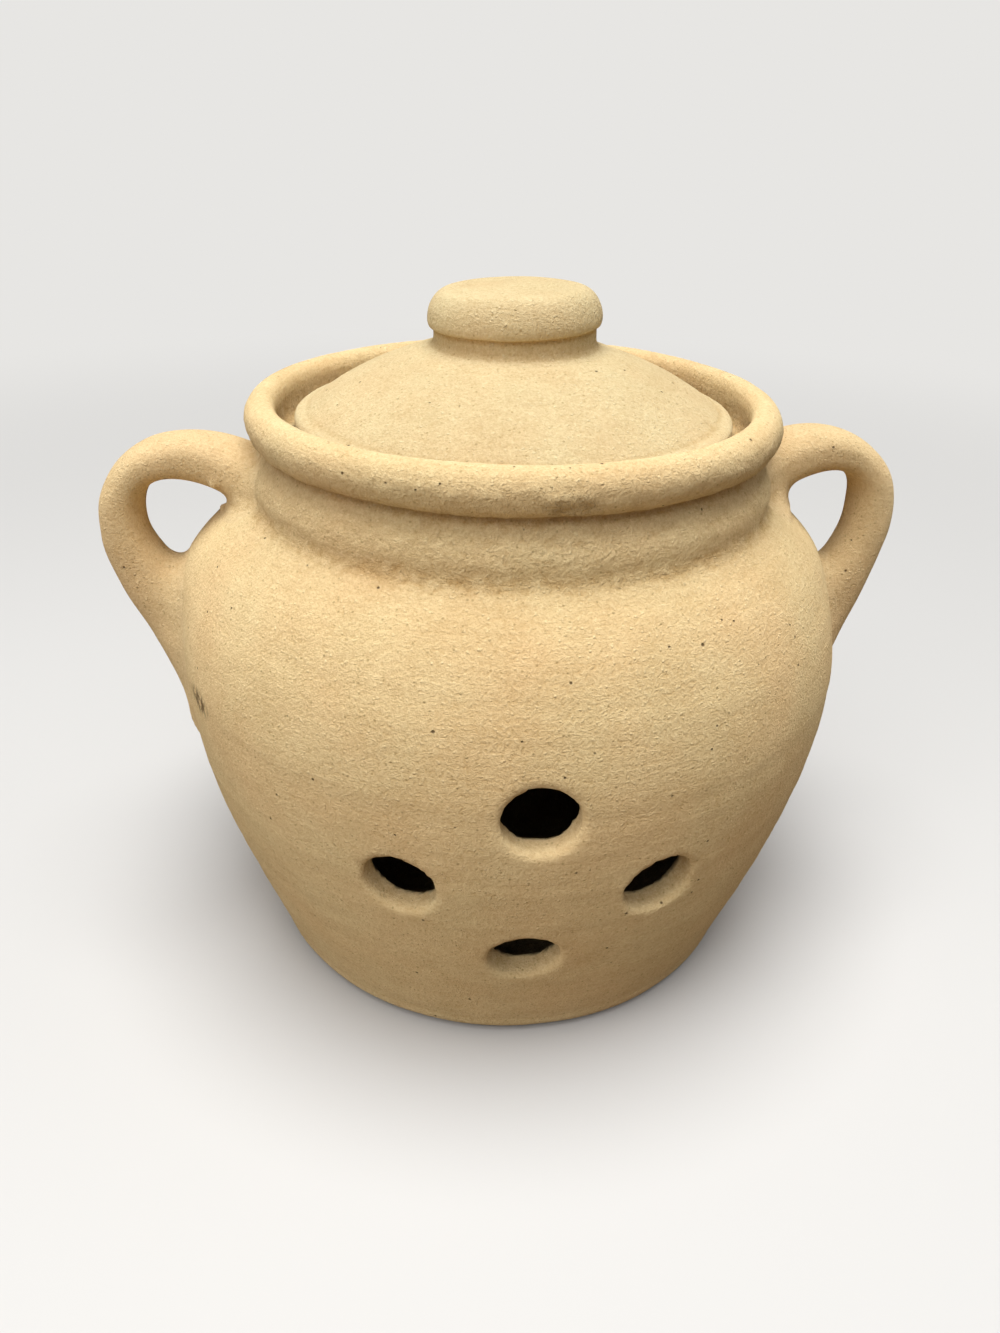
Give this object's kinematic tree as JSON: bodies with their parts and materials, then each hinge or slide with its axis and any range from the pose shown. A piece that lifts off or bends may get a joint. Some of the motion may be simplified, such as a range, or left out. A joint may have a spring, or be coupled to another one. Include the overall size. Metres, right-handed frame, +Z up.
{
  "type": "garlic keeper",
  "caption": "Round unglazed clay keeper with a rolled rim, side loop handles, vent holes low in the front wall, and a domed lid with a disc knob that lifts out of a gallery.",
  "frame": {"origin": "centre of the flat foot, on the surface that the pot stands on", "axes": "+Z up along the axis that the pot was turned about, -Y towards the vented front, +X and -X through the two handles"},
  "size_m": [0.1787, 0.1488, 0.1503],
  "materials": {
    "bisque": "unglazed sandy buff clay, matte",
    "bisque_handle": "unglazed sandy buff clay, matte, smoothed by hand",
    "bisque_lid": "unglazed sandy buff clay, matte"
  },
  "bodies": {
    "pot": {"pot_body": "bisque", "left_handle": "bisque_handle", "right_handle": "bisque_handle"},
    "cover": {"lid": "bisque_lid", "lid_knob": "bisque_lid"}
  },
  "joints": [
    {"name": "lid_lift", "type": "slide", "parent": "pot", "child": "cover", "axis": [0, 0, 1], "range_m": [0, 0.06]}
  ]
}
